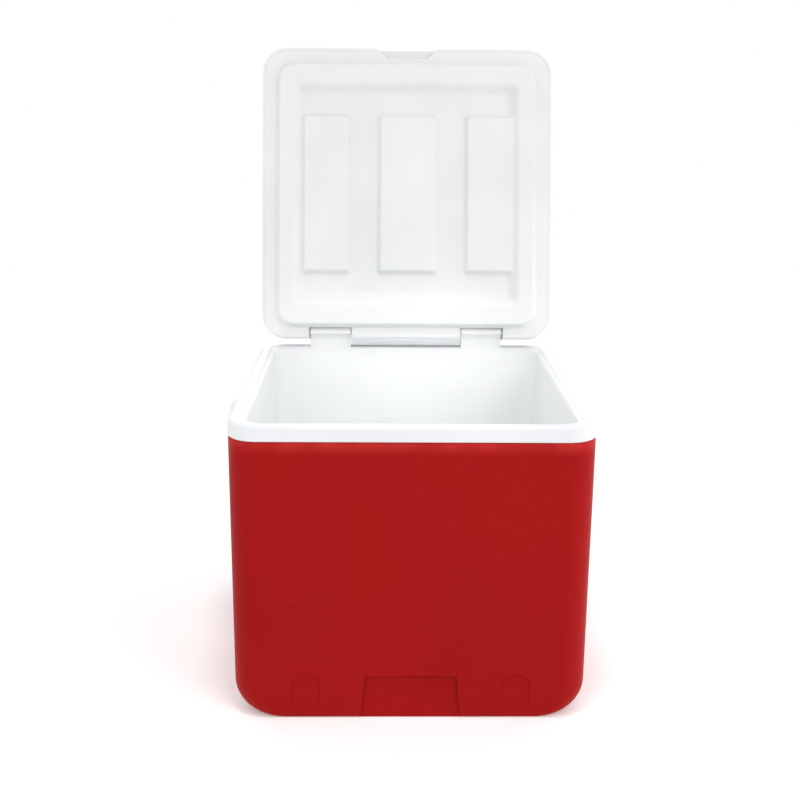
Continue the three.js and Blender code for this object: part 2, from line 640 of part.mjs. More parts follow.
// ---- rear pull handle, hanging at rest ----
const TOW_PIN_R = 4;
const BRACKET_HALF = 12;

function towBracket() {
  const base = BODY_Y + GAP;
  const outline = [[base, TOW.z - 24], [base + 6, TOW.z - 24], [TOW.y + 9, TOW.z - 5], [TOW.y + 9, TOW.z + 5],
    [TOW.y + 4, TOW.z + 10], [base + 6, TOW.z + 22], [base, TOW.z + 22]];
  const block = prismX(TOW.x - BRACKET_HALF, TOW.x + BRACKET_HALF, outline);
  const bore = rodX(TOW.x - BRACKET_HALF - 1, TOW.x + BRACKET_HALF + 1, TOW.y, TOW.z, TOW_PIN_R + GAP, 16);
  const seats = [-SCREW_SPREAD, SCREW_SPREAD].map((dz) => join(
    rodY(base + 5, TOW.y + 20, TOW.x, TOW.z + dz, SCREW.head + 0.4, 14),
    rodY(base - 1, base + 6, TOW.x, TOW.z + dz, SCREW.shank + GAP, 10),
  ));
  return cut(block, bore, ...seats);
}

function screwY(y, x, z) {
  const head = rodY(y, y + SCREW.headThick, x, z, SCREW.head, 14);
  const shank = rodY(BODY_Y - SCREW.depth, y + 0.5, x, z, SCREW.shank, 10);
  const { slotHalf, slotWide, slotFrom } = SCREW;
  const drive = box(x - slotHalf, x + slotHalf, y + slotFrom, y + 5, z - slotWide, z + slotWide);
  const cross = box(x - slotWide, x + slotWide, y + slotFrom, y + 5, z - slotHalf, z + slotHalf);
  return cut(join(head, shank), drive, cross);
}

// One arm with its eye; the two arms are separate mouldings held together by the grip bar.
function towArm() {
  const { armX, armHalf, y, z, length } = TOW;
  const outline = [[y - 6, z], [y - 6, z - length], [y + 6, z - length], [y + 6, z]];
  const eye = rodX(armX - armHalf, armX + armHalf, y, z, TOW.eye, 28);
  const foot = rodX(armX - armHalf, armX + armHalf, y, z - length, TOW.eye, 28);
  const arm = join(prismX(armX - armHalf, armX + armHalf, outline), eye, foot);
  const bore = rodX(armX - armHalf - 1, armX + armHalf + 1, y, z, TOW_PIN_R + GAP, 16);
  const groove = box(armX - 4, armX + 4, y + 4, y + 10, z - length + 22, z - 22);
  const barHole = rodX(armX - armHalf - 1, armX + armHalf + 1, y, z - length, TOW.barR + GAP, 24);
  return cut(arm, bore, groove, barHole);
}

const bracket = towBracket();
const arm = towArm();
const towPin = rodX(TOW.armX - TOW.armHalf - 3, TOW.x + BRACKET_HALF + 1, TOW.y, TOW.z, TOW_PIN_R, 16);
for (const [side, place] of sides) {
  addNode(`pull_bracket_${side}`, place(bracket), BLACK);
  addNode(`pull_arm_${side}`, place(arm), GREY);
  addNode(`pull_pin_${side}`, place(towPin), STEEL);
  for (const [level, dz] of [['upper', SCREW_SPREAD], ['lower', -SCREW_SPREAD]]) {
    const screw = screwY(BODY_Y + 5 + 2 * GAP, TOW.x, TOW.z + dz);
    addNode(`pull_screw_${side}_${level}`, place(screw), STEEL);
  }
}
const gripZ = TOW.z - TOW.length;
const gripReach = TOW.armX - TOW.armHalf - GAP;
const barReach = TOW.armX + TOW.armHalf - 1;
addNode('pull_bar', rodX(-barReach, barReach, TOW.y, gripZ, TOW.barR, 24), STEEL);
addNode('pull_grip', tubeX(-gripReach, gripReach, TOW.y, gripZ, TOW.gripR, TOW.barR + GAP, 28), BLACK);

// ---- drain ----
const DRAIN_FACE = BODY_X - DRAFT + 0.8;
const DRAIN_IN = 163;             // inner end of the fitting
const DRAIN_FLANGE = { radius: 18, thick: 3 };
const SEAL = { radius: 13.5, thick: 2 };
const CAP = { radius: 14.5, thick: 6, tab: 12, tabHalf: 11 };
const drainBody = cut(
  join(rodX(DRAIN_IN, DRAIN_FACE + 2, DRAIN.y, DRAIN.z, DRAIN.hole - GAP),
    rodX(DRAIN_FACE, DRAIN_FACE + DRAIN_FLANGE.thick, DRAIN.y, DRAIN.z, DRAIN_FLANGE.radius)),
  rodX(DRAIN.from, HALF + 10, DRAIN.y, DRAIN.z, DRAIN.bore),
);
const sealFace = DRAIN_FACE + DRAIN_FLANGE.thick + GAP;
const capFace = sealFace + SEAL.thick + GAP;
const plug = join(
  rodX(DRAIN_IN + 5, capFace + 1, DRAIN.y, DRAIN.z, DRAIN.bore - GAP),
  rodX(capFace, capFace + CAP.thick, DRAIN.y, DRAIN.z, CAP.radius),
  box(capFace + CAP.thick - 2, capFace + CAP.tab, DRAIN.y - CAP.tabHalf, DRAIN.y + CAP.tabHalf,
    DRAIN.z - 2, DRAIN.z + 2),
);
addNode('drain_fitting', drainBody, WHITE);
addNode('drain_seal', tubeX(sealFace, sealFace + SEAL.thick, DRAIN.y, DRAIN.z, SEAL.radius, DRAIN.bore + GAP),
  RUBBER);
addNode('drain_plug', plug, WHITE);

export default group;
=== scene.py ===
"""Looks for the wheeled cooler box: materials, moulded detail, light and camera around the CAD frame."""
import json
import math

import bmesh
import bpy
import numpy as np
from mathutils import Matrix, Vector


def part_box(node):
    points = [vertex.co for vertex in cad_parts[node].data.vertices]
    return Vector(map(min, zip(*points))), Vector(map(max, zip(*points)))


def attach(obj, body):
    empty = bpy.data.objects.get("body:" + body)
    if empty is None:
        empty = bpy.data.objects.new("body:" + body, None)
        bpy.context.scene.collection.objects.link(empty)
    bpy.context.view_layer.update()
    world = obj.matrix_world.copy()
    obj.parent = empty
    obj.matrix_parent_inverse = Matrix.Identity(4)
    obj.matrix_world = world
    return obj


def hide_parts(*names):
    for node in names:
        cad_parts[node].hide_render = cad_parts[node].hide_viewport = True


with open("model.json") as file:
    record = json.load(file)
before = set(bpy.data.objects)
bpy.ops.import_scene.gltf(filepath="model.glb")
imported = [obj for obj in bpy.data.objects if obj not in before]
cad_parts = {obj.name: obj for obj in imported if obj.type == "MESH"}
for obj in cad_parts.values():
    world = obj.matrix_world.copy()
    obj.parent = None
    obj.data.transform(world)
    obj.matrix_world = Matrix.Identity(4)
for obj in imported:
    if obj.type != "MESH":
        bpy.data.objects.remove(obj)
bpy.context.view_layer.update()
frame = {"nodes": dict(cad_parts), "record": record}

NODES = frame["nodes"]
MM = 0.001

# ---- sizes read from the frame ----
BODY_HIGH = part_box("body_shell")[1]
TUB_LOW, TUB_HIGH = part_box("liner_tub")
HINGE = next(j for j in frame["record"]["behaviour"]["joints"] if j["name"] == "lid_hinge")
HINGE_POINT = Vector(HINGE["pos_m"])
OPEN_ANGLE = math.radians(HINGE["range_deg"][1])
GAP = 0.3 * MM                          # air left between pieces that touch
COLLAR = 17.5 * MM                      # height of the white collar
RIM_Z = BODY_HIGH[2] + GAP + COLLAR
LID_Z = RIM_Z + 0.5 * MM
PULL = next(j for j in frame["record"]["behaviour"]["joints"] if j["name"] == "pull_handle_swing")
PULL_Z = PULL["pos_m"][2]


# ---- node helpers ----
class Graph:
    """Adds shader nodes to one material with short calls."""

    def __init__(self, name):
        self.material = bpy.data.materials.new(name)
        self.material.use_nodes = True
        self.tree = self.material.node_tree
        self.shader = self.tree.nodes["Principled BSDF"]
        self.place = self.tree.nodes.new("ShaderNodeTexCoord").outputs["Object"]

    def add(self, kind, **values):
        node = self.tree.nodes.new(kind)
        for key, value in values.items():
            if hasattr(node, key):
                setattr(node, key, value)
            else:
                node.inputs[key].default_value = value
        return node

    def link(self, source, target):
        self.tree.links.new(source, target)

    def noise(self, scale, detail=3.0, stretch=None):
        node = self.add("ShaderNodeTexNoise")
        node.inputs["Scale"].default_value = scale
        node.inputs["Detail"].default_value = detail
        source = self.place
        if stretch:
            mapping = self.add("ShaderNodeMapping")
            mapping.inputs["Scale"].default_value = stretch
            self.link(self.place, mapping.inputs["Vector"])
            source = mapping.outputs["Vector"]
        self.link(source, node.inputs["Vector"])
        return node.outputs["Fac"]

    def remap(self, value, low, high, to_low, to_high):
        node = self.add("ShaderNodeMapRange")
        for socket, number in zip(("From Min", "From Max", "To Min", "To Max"), (low, high, to_low, to_high)):
            node.inputs[socket].default_value = number
        self.link(value, node.inputs["Value"])
        return node.outputs["Result"]

    def mix(self, factor, first, second):
        node = self.add("ShaderNodeMix", data_type="RGBA")
        for socket, colour in ((node.inputs[6], first), (node.inputs[7], second)):
            if isinstance(colour, bpy.types.NodeSocket):
                self.link(colour, socket)
            else:
                socket.default_value = (*colour, 1)
        self.link(factor, node.inputs[0])
        return node.outputs[2]

    def math(self, operation, first, second):
        node = self.add("ShaderNodeMath", operation=operation)
        for socket, value in zip(node.inputs, (first, second)):
            if isinstance(value, bpy.types.NodeSocket):
                self.link(value, socket)
            else:
                socket.default_value = value
        return node.outputs[0]

    def edges(self, radius, sharp=0.93):
        """1 on convex and concave edges, 0 on flats."""
        bevel = self.add("ShaderNodeBevel", samples=4)
        bevel.inputs["Radius"].default_value = radius
        normal = self.add("ShaderNodeNewGeometry").outputs["Normal"]
        dot = self.add("ShaderNodeVectorMath", operation="DOT_PRODUCT")
        self.link(bevel.outputs["Normal"], dot.inputs[0])
        self.link(normal, dot.inputs[1])
        return self.remap(dot.outputs["Value"], sharp, 0.999, 1, 0)

    def crevices(self, reach, depth):
        """Painted shade: 1 on open faces, down to 1 - depth in concave corners closer than `reach`."""
        shade = self.add("ShaderNodeAmbientOcclusion", samples=8)
        shade.inputs["Distance"].default_value = reach
        return self.remap(shade.outputs["AO"], 0.35, 0.8, 1 - depth, 1)

    def band(self, low, high):
        """0 below `low` and 1 above `high`, by height in the piece's own frame."""
        split = self.add("ShaderNodeSeparateXYZ")
        self.link(self.place, split.inputs[0])
        return self.remap(split.outputs["Z"], low, high, 0, 1)

    def bump(self, layers):
        """Stacks bump layers given as (height, strength, distance)."""
        previous = None
        for height, strength, distance in layers:
            node = self.add("ShaderNodeBump")
            node.inputs["Strength"].default_value = strength
            node.inputs["Distance"].default_value = distance
            self.link(height, node.inputs["Height"])
            if previous is not None:
                self.link(previous, node.inputs["Normal"])
            previous = node.outputs["Normal"]
        self.link(previous, self.shader.inputs["Normal"])

    def set(self, name, value):
        if isinstance(value, bpy.types.NodeSocket):
            self.link(value, self.shader.inputs[name])
        else:
            self.shader.inputs[name].default_value = value


def moulded(name, colour, wear_and_highlight, rough, grain=900.0, grain_depth=0.03, wear=0.35, specular=0.5,
            tint=(1, 1, 1), crevice_shade=0.0, lip_highlight=None):
    """Moulded plastic: mottled colour, fine grain, flow waves, scuffs, paler edges from wear, painted shade
    in crevices and an optional painted highlight band.

    The last argument is the pair of heights between which the painted highlight fades the colour to the paler
    one."""
    g = Graph(name)
    cloud = g.noise(7.0, 2.0)
    fleck = g.noise(160.0, 4.0)
    darker = tuple(c * 0.94 for c in colour)
    base = g.mix(g.remap(cloud, 0.35, 0.65, 0, 1), colour, darker)
    base = g.mix(g.math("MULTIPLY", g.remap(fleck, 0.62, 0.75, 0, 1), 0.12), base, wear_and_highlight)
    edge = g.math("MULTIPLY", g.edges(1.6 * MM), g.remap(g.noise(45.0, 4.0), 0.4, 0.62, 0, wear))
    finish = g.mix(edge, base, wear_and_highlight)
    if lip_highlight is not None:
        # painted highlight: the colour fades to the paler one in a band between two heights
        patchy = g.remap(g.noise(30.0, 3.0), 0.35, 0.6, 0.35, 0.8)
        finish = g.mix(g.math("MULTIPLY", g.band(*lip_highlight), patchy), finish, wear_and_highlight)
    # painted shade: the colour darkens towards a darker copy in concave corners, by ambient occlusion
    if crevice_shade:
        shade_colour = tuple(c * 0.6 for c in colour)
        finish = g.mix(g.crevices(4 * MM, crevice_shade), shade_colour, finish)
    g.set("Base Color", finish)
    scuff = g.remap(g.noise(24.0, 4.0), 0.3, 0.7, rough - 0.02, rough + 0.04)
    g.set("Roughness", g.math("ADD", scuff, g.math("MULTIPLY", edge, 0.2)))
    g.set("Specular IOR Level", specular)
    g.set("Specular Tint", (*tint, 1))
    g.bump([
        (g.noise(grain, 2.0), 0.25, grain_depth * MM),
        (g.noise(9.0, 1.0), 0.1, 0.25 * MM),
    ])
    return g.material


def plated_steel(name):
    """Zinc-plated steel with fine drawing lines and dull spots."""
    g = Graph(name)
    lines = g.noise(500.0, 2.0, (0.06, 1, 1))
    spots = g.noise(90.0, 4.0)
    g.set("Base Color", g.mix(g.remap(spots, 0.4, 0.65, 0, 1), (0.62, 0.63, 0.64), (0.45, 0.46, 0.47)))
    g.set("Metallic", 1.0)
    g.set("Roughness", g.remap(spots, 0.3, 0.7, 0.22, 0.42))
    g.bump([(lines, 0.2, 0.02 * MM)])
    return g.material


def tyre_rubber(name):
    """Matt moulded rubber with dust on the flats."""
    g = Graph(name)
    dust = g.noise(60.0, 5.0)
    g.set("Base Color", g.mix(g.remap(dust, 0.45, 0.7, 0, 0.6), (0.018, 0.018, 0.019), (0.075, 0.07, 0.064)))
    g.set("Roughness", g.remap(dust, 0.3, 0.7, 0.72, 0.9))
    g.bump([(g.noise(700.0, 3.0), 0.4, 0.05 * MM), (g.noise(40.0, 2.0), 0.2, 0.2 * MM)])
    return g.material


def cut_foam(name):
    """Cream closed-cell foam with visible cells."""
    g = Graph(name)
    cells = g.add("ShaderNodeTexVoronoi", feature="DISTANCE_TO_EDGE")
    cells.inputs["Scale"].default_value = 500.0
    g.link(g.place, cells.inputs["Vector"])
    g.set("Base Color", g.mix(g.remap(g.noise(20.0), 0.3, 0.7, 0, 1), (0.80, 0.74, 0.50), (0.70, 0.62, 0.38)))
    g.set("Roughness", g.remap(cells.outputs["Distance"], 0, 0.4, 0.98, 0.85))
    g.bump([(cells.outputs["Distance"], 0.5, 0.4 * MM)])
    return g.material


# Each moulding is given as its colour, its paler colour for wear and for a painted highlight, and its
# roughness.
RED = moulded("red_moulding", (0.33, 0.0085, 0.0085), (0.52, 0.035, 0.03), 0.42,
              grain=1100.0, wear=0.3, specular=0.04, tint=(1.0, 0.35, 0.35),
              # painted highlight: a paler band along the top of the body, just under the collar
              lip_highlight=(BODY_HIGH[2] - 14 * MM, BODY_HIGH[2] - 1 * MM))
WHITE = moulded("white_moulding", (0.80, 0.81, 0.82), (0.79, 0.79, 0.78), 0.40,
                grain=900.0, wear=0.25, crevice_shade=0.5)
LINER = moulded("white_liner", (0.80, 0.81, 0.815), (0.76, 0.765, 0.765), 0.36,
                grain=700.0, wear=0.2, crevice_shade=0.3)
# painted light: the collar and the tub are one white moulding given two colours; the collar is painted darker
# and the inside paler, to offset how light falls on them
COLLAR_PAINTED_DARKER = moulded("white_collar_painted_darker", (0.745, 0.76, 0.78), (0.76, 0.76, 0.75), 0.38,
                       grain=900.0, wear=0.3, crevice_shade=0.3)
TUB_PAINTED_PALER = moulded("white_tub_painted_paler", (0.91, 0.92, 0.925), (0.88, 0.885, 0.88), 0.36,
              grain=700.0, wear=0.2, crevice_shade=0.4)
BLACK = moulded("black_moulding", (0.016, 0.016, 0.017), (0.06, 0.06, 0.06), 0.55,
                grain=1400.0, grain_depth=0.06)
GREY = moulded("grey_moulding", (0.085, 0.09, 0.095), (0.16, 0.165, 0.17), 0.5,
               grain=1400.0, grain_depth=0.06)
STEEL = plated_steel("plated_steel")
TYRE = tyre_rubber("tyre_rubber")
FOAM = cut_foam("cut_foam")

SLOT_LOOKS = {
    "red_body": RED,
    "white_plastic": WHITE,
    "foam": FOAM,
    "steel": STEEL,
    "black_plastic": BLACK,
    "grey_plastic": GREY,
    "tyre": TYRE,
    "seal": TYRE,
}


def smooth_by_angle(degrees):
    """Modifier group that shades a mesh smooth and keeps its real edges sharp."""
    group = bpy.data.node_groups.new("smooth_by_angle", "GeometryNodeTree")
    group.interface.new_socket("Geometry", in_out="INPUT", socket_type="NodeSocketGeometry")
    group.interface.new_socket("Geometry", in_out="OUTPUT", socket_type="NodeSocketGeometry")
    source = group.nodes.new("NodeGroupInput")
    sink = group.nodes.new("NodeGroupOutput")
    faces = group.nodes.new("GeometryNodeSetShadeSmooth")
    edges = group.nodes.new("GeometryNodeSetShadeSmooth")
    edges.domain = "EDGE"
    edges.inputs["Shade Smooth"].default_value = False
    angle = group.nodes.new("GeometryNodeInputMeshEdgeAngle")
    limit = group.nodes.new("FunctionNodeCompare")
    limit.operation = "GREATER_THAN"
    limit.inputs[1].default_value = math.radians(degrees)
    group.links.new(source.outputs[0], faces.inputs["Geometry"])
    group.links.new(faces.outputs[0], edges.inputs["Geometry"])
    group.links.new(angle.outputs["Unsigned Angle"], limit.inputs[0])
    group.links.new(limit.outputs[0], edges.inputs["Selection"])
    group.links.new(edges.outputs[0], sink.inputs[0])
    return group


EDGE_DEGREES = 33                        # faces that meet at more than this angle keep a real edge
SMOOTHING = smooth_by_angle(EDGE_DEGREES)


def soften(obj, width, degrees=EDGE_DEGREES):
    """Joins the faces of a CAD node, rounds its real edges and shades the rest smooth."""
    if "custom_normal" in obj.data.attributes:
        obj.data.attributes.remove(obj.data.attributes["custom_normal"])
    weld = obj.modifiers.new("join_faces", "WELD")
    weld.merge_threshold = 0.005 * MM
    bevel = obj.modifiers.new("edge_round", "BEVEL")
    bevel.width = width
    bevel.segments = 3
    bevel.limit_method = "ANGLE"
    bevel.angle_limit = math.radians(degrees)
    bevel.use_clamp_overlap = True
    smooth = obj.modifiers.new("smooth", "NODES")
    smooth.node_group = SMOOTHING
    flat = obj.modifiers.new("flat_faces", "WEIGHTED_NORMAL")
    flat.keep_sharp = True


def paint(obj, material):
    """Gives the object this one material."""
    obj.data.materials.clear()
    obj.data.materials.append(material)


EDGE_ROUND = {                           # millimetres; the other nodes get SMALL_ROUND
    "body_shell": 0.8,
    "liner_tub": 1.0,
    "lid_shell": 0.8,
    "handle_boss_left": 0.6,
    "handle_boss_right": 0.6,
    "handle_loop_left": 0.8,
    "handle_loop_right": 0.8,
    "pull_bracket_left": 0.7,
    "pull_bracket_right": 0.7,
    "pull_arm_left": 0.8,
    "pull_arm_right": 0.8,
    "wheel_hub_left": 0.4,
    "wheel_hub_right": 0.4,
    "drain_plug": 0.4,
    "drain_fitting": 0.4,
}

SMALL_ROUND = 0.25

for entry in frame["record"]["subparts"]:
    node = NODES[entry["node"]]
    paint(node, TUB_PAINTED_PALER if entry["node"] == "liner_tub" else SLOT_LOOKS[entry["material_slot"]])
    soften(node, EDGE_ROUND.get(entry["node"], SMALL_ROUND) * MM)


# ---- mesh tools ----
def add_object(name, points, faces):
    """Mesh object from points and faces, linked to the scene."""
    mesh = bpy.data.meshes.new(name)
    mesh.from_pydata([tuple(p) for p in points], [], faces)
    obj = bpy.data.objects.new(name, mesh)
    bpy.context.collection.objects.link(obj)
    return obj


def ring(half_x, half_y, radius, z, centre_y=0.0, steps=14):
    """One level ring of a rounded rectangle, anticlockwise from above."""
    points = []
    for quarter, (sx, sy) in enumerate(((1, 1), (-1, 1), (-1, -1), (1, -1))):
        for i in range(steps + 1):
            angle = math.radians(90 * (quarter + i / steps))
            points.append((sx * (half_x - radius) + radius * math.cos(angle),
                           centre_y + sy * (half_y - radius) + radius * math.sin(angle), z))
    return points


def loft(name, rings):
    """Closed solid through equal rings, from the lowest to the highest."""
    count = len(rings[0])
    faces = [tuple(reversed(range(count)))]
    for level in range(len(rings) - 1):
        for i in range(count):
            a = level * count + i
            b = level * count + (i + 1) % count
            faces.append((a, b, b + count, a + count))
    top = (len(rings) - 1) * count
    faces.append(tuple(range(top, top + count)))
    return add_object(name, [p for r in rings for p in r], faces)


def between(name, low_ring, high_ring):
    """Closed solid between two rings with equal counts of points."""
    count = len(low_ring)
    faces = [tuple(reversed(range(count))), tuple(range(count, 2 * count))]
    faces += [(i, (i + 1) % count, (i + 1) % count + count, i + count) for i in range(count)]
    return add_object(name, low_ring + high_ring, faces)


def prism(name, outline, low, high, axis="Z"):
    """Closed prism of an anticlockwise outline along Z, or along X for an outline in y and z."""
    if axis == "Z":
        rings = [[(a, b, level) for a, b in outline] for level in (low, high)]
    else:
        rings = [[(level, a, b) for a, b in outline] for level in (low, high)]
    return between(name, *rings)


def prism_back(name, outline, front, back):
    """Closed prism along Y of an outline in x and z that is anticlockwise seen from the front."""
    count = len(outline)
    points = [(a, level, b) for level in (front, back) for a, b in outline]
    faces = [tuple(range(count)), tuple(reversed(range(count, 2 * count)))]
    faces += [(i, i + count, (i + 1) % count + count, (i + 1) % count) for i in range(count)]
    return add_object(name, points, faces)


def arc(centre_a, centre_b, radius, start, end, steps):
    """Points on an arc, angles in degrees."""
    spots = [math.radians(start + (end - start) * i / steps) for i in range(steps + 1)]
    return [(centre_a + radius * math.cos(t), centre_b + radius * math.sin(t)) for t in spots]


def rod_x(name, x0, x1, y, z, radius, segments=64):
    """Closed round rod along X."""
    return prism(name, arc(y, z, radius, 0, 360 - 360 / segments, segments - 1), x0, x1, "X")


def block(name, x0, x1, y0, y1, z0, z1):
    """Closed box between two corners."""
    return prism(name, [(x0, y0), (x1, y0), (x1, y1), (x0, y1)], z0, z1)


def combine(obj, operation, tools):
    """Applies booleans for good and deletes the tools."""
    for tool in tools:
        step = obj.modifiers.new("combine", "BOOLEAN")
        step.operation = operation
        step.solver = "EXACT"
        step.object = tool
    bpy.context.view_layer.update()
    result = bpy.data.meshes.new_from_object(obj.evaluated_get(bpy.context.evaluated_depsgraph_get()))
    obj.modifiers.clear()
    old = obj.data
    obj.data = result
    bpy.data.meshes.remove(old)
    for tool in tools:
        bpy.data.objects.remove(tool)
    return obj


def finish_piece(obj, material, body, node, width, degrees=EDGE_DEGREES):
    """Gives a new piece its rounded edges, material and place in the frame."""
    soften(obj, width, degrees=degrees)
    paint(obj, material)
    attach(obj, body)
    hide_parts(node)


# ---- body moulding ----
WALL = 3 * MM
PLAN_R = 32 * MM
DRAFT = 2.2 * MM
BODY_X = BODY_HIGH[0]
BODY_Y = BODY_HIGH[1]
BODY_TOP = BODY_HIGH[2]
PAST = 20 * MM                           # how far cutting tools reach outside the body
BOTTOM_ROUND_X = 34 * MM
BOTTOM_ROUND_Y = 6 * MM
LIP_HEIGHT = 4 * MM
LIP_PULL = 1.8 * MM
AXLE = (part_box("wheel_axle")[0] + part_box("wheel_axle")[1]) / 2
TYRE_LOW, TYRE_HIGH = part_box("wheel_tyre_right")
WHEEL_R = (TYRE_HIGH[2] - TYRE_LOW[2]) / 2
WELL_R = WHEEL_R + 7 * MM
WELL_X = TYRE_LOW[0] - 8 * MM
BOSS_LOW, BOSS_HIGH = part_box("handle_boss_right")
PIN_Z = (BOSS_LOW[2] + BOSS_HIGH[2]) / 2
BRACKET_LOW, BRACKET_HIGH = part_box("pull_bracket_right")
DRAIN_LOW, DRAIN_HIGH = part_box("drain_seal")
DRAIN_Y = (DRAIN_LOW[1] + DRAIN_HIGH[1]) / 2
DRAIN_Z = (DRAIN_LOW[2] + DRAIN_HIGH[2]) / 2
DRAIN_HOLE = 13 * MM
DRAIN_FROM = 140 * MM                    # inner end of the drain hole
AXLE_TUNNEL_R = 8 * MM
SCREW_R = 2.5 * MM
SCREW_DEPTH = 14 * MM
SCREW_SPREAD = 15 * MM                   # half the distance between the two screws of a boss or bracket
POCKET_HALF_Y = 46 * MM
POCKET_BELOW_PIN = (101 * MM, 27 * MM)   # bottom and top of the pocket, measured down from the handle pin
POCKET_DEPTH = 10 * MM
POCKET_ROUND = 9 * MM
ARCH_X = 110.5 * MM


def body_envelope(inset):
    """Outside of the body, or its inside when moved in by `inset`."""
    rings = []
    steps = 16
    for i in range(steps + 1):
        angle = math.pi / 2 * i / steps
        pull = 1 - math.sin(angle)
        rings.append(ring(BODY_X - DRAFT - BOTTOM_ROUND_X * pull - inset,
                          BODY_Y - DRAFT - BOTTOM_ROUND_Y * pull - inset,
                          PLAN_R - BOTTOM_ROUND_Y * pull - inset,
                          inset + (BOTTOM_ROUND_X - inset) * (1 - math.cos(angle))))
    rings.append(ring(BODY_X - inset, BODY_Y - inset, PLAN_R - inset, BODY_TOP - LIP_HEIGHT))
    if inset > 0:
        rings.append(ring(BODY_X - inset, BODY_Y - inset, PLAN_R - inset, BODY_TOP + 2 * MM))
        return loft("body_inside", rings)
    for i in range(1, 7):
        angle = math.pi / 2 * i / 6
        pull = LIP_PULL * (1 - math.cos(angle))
        rings.append(ring(BODY_X - pull, BODY_Y - pull, PLAN_R - pull,
                          BODY_TOP - LIP_HEIGHT * (1 - math.sin(angle))))
    return loft("body_moulding", rings)


def front_relief(centre, top_half, foot_half, top, round_off, depth, grow):
    """Shallow relief in the lower front, open at the bottom, with rounded upper corners."""
    half = top_half + grow
    height = top + grow
    outline = [(centre - foot_half - grow, -10 * MM), (centre + foot_half + grow, -10 * MM)]
    outline += arc(centre + half - round_off, height - round_off, round_off, 0, 90, 8)
    outline += arc(centre - half + round_off, height - round_off, round_off, 90, 180, 8)
    return prism_back("relief", outline, -BODY_Y - 10 * MM, -BODY_Y + DRAFT + depth + grow)


def side_pocket(side, grow):
    """Pocket behind the fingers of a side handle."""
    low, high = PIN_Z - POCKET_BELOW_PIN[0] - grow, PIN_Z - POCKET_BELOW_PIN[1] + grow
    corner_y = POCKET_HALF_Y + grow - POCKET_ROUND
    outline = arc(corner_y, low + POCKET_ROUND, POCKET_ROUND, -90, 0, 8)
    outline += arc(corner_y, high - POCKET_ROUND, POCKET_ROUND, 0, 90, 8)
    outline += arc(-corner_y, high - POCKET_ROUND, POCKET_ROUND, 90, 180, 8)
    outline += arc(-corner_y, low + POCKET_ROUND, POCKET_ROUND, 180, 270, 8)
    near, far = sorted((side * (BODY_X - POCKET_DEPTH - grow), side * (BODY_X + PAST)))
    return prism("pocket", outline, near, far, "X")


def body_hollows(grow):
    """Everything cut out of the outside: front reliefs, wheel wells and handle pockets."""
    tools = [front_relief(0, 49 * MM, 53 * MM, 50 * MM, 2 * MM, 4 * MM, grow)]
    for side in (-1, 1):
        near, far = sorted((side * (WELL_X - grow), side * (BODY_X + PAST)))
        tools.append(rod_x("well", near, far, AXLE[1], AXLE[2], WELL_R + grow, 96))
        tools.append(front_relief(side * ARCH_X, 15.5 * MM, 15.5 * MM, 51 * MM, 12 * MM, 1.4 * MM, grow))
        tools.append(side_pocket(side, grow))
    return tools


def screw_holes():
    """Clearance holes for the screws of the side bosses and the rear brackets."""
    tools = []
    bracket_x = (BRACKET_LOW[0] + BRACKET_HIGH[0]) / 2
    sides = 16
    for side in (-1, 1):
        for lift in (-SCREW_SPREAD, SCREW_SPREAD):
            near, far = sorted((side * (BODY_X - SCREW_DEPTH), side * (BODY_X + 4 * MM)))
            tools.append(rod_x("hole", near, far, 0, PIN_Z + lift, SCREW_R, sides))
            rear = arc(side * bracket_x, PULL_Z + lift, SCREW_R, 0, 360 - 360 / sides, sides - 1)
            tools.append(prism_back("hole", rear, BODY_Y - SCREW_DEPTH, BODY_Y + 4 * MM))
    return tools


def body_moulding():
    """Hollow outer body with its reliefs, wells, pockets and holes."""
    hollow = combine(body_envelope(WALL), "DIFFERENCE", body_hollows(WALL))
    axle_tunnel = rod_x("hole", -BODY_X - 5 * MM, BODY_X + 5 * MM, AXLE[1], AXLE[2], AXLE_TUNNEL_R, 48)
    drain_tunnel = rod_x("hole", DRAIN_FROM, BODY_X + 10 * MM, DRAIN_Y, DRAIN_Z, DRAIN_HOLE, 48)
    body = combine(body_envelope(0), "DIFFERENCE", [hollow] + body_hollows(0))
    combine(body, "DIFFERENCE", [axle_tunnel, drain_tunnel] + screw_holes())
    finish_piece(body, RED, "box", "body_shell", 1.0 * MM)


# ---- tub with its collar and hinge lugs ----
COLLAR_X, COLLAR_Y = TUB_HIGH[0], -TUB_LOW[1]
COLLAR_CHAMFER = 0.8 * MM
COLLAR_ROUND = 4.5 * MM
OPENING_X = COLLAR_X - 19 * MM
OPENING_Y = COLLAR_Y - 14.5 * MM
TUB_SHIFT = -0.5 * MM
TUB_R = 24 * MM
TUB_DRAFT = 7 * MM
FLOOR_Z = 30 * MM
FLOOR_ROUND = 14 * MM
RIM_ROUND = 7 * MM
STEP_Y = 94 * MM
STEP_Z = 112 * MM
LUG_X = 99 * MM
LUG_HALF = 26.5 * MM
LUG_R = 13.5 * MM
PIN_R = 4 * MM


def tub_space(grow):
    """Inside of the tub, moved outward by `grow`, with the step over the wheels left out."""
    def level(out, z):
        return ring(OPENING_X + out + grow, OPENING_Y + out + grow, TUB_R + grow, z, TUB_SHIFT)

    rings = []
    for i in range(9):
        angle = math.pi / 2 * i / 8
        rings.append(level(-TUB_DRAFT - FLOOR_ROUND * (1 - math.sin(angle)),
                           FLOOR_Z - grow + FLOOR_ROUND * (1 - math.cos(angle))))
    for i in range(9):
        angle = math.pi / 2 * i / 8
        rings.append(level(RIM_ROUND * (1 - math.cos(angle)), RIM_Z - RIM_ROUND * (1 - math.sin(angle))))
    rings.append(level(RIM_ROUND, RIM_Z + 2 * MM))
    edge = 10 * MM
    front, top = STEP_Y + grow, STEP_Z - grow
    outline = [(BODY_Y, 0), (BODY_Y, top)] + arc(front + edge, top - edge, edge, 90, 180, 10) + [(front, 0)]
    step = prism("step", outline, -BODY_X, BODY_X, "X")
    return combine(loft("tub_space", rings), "DIFFERENCE", [step])


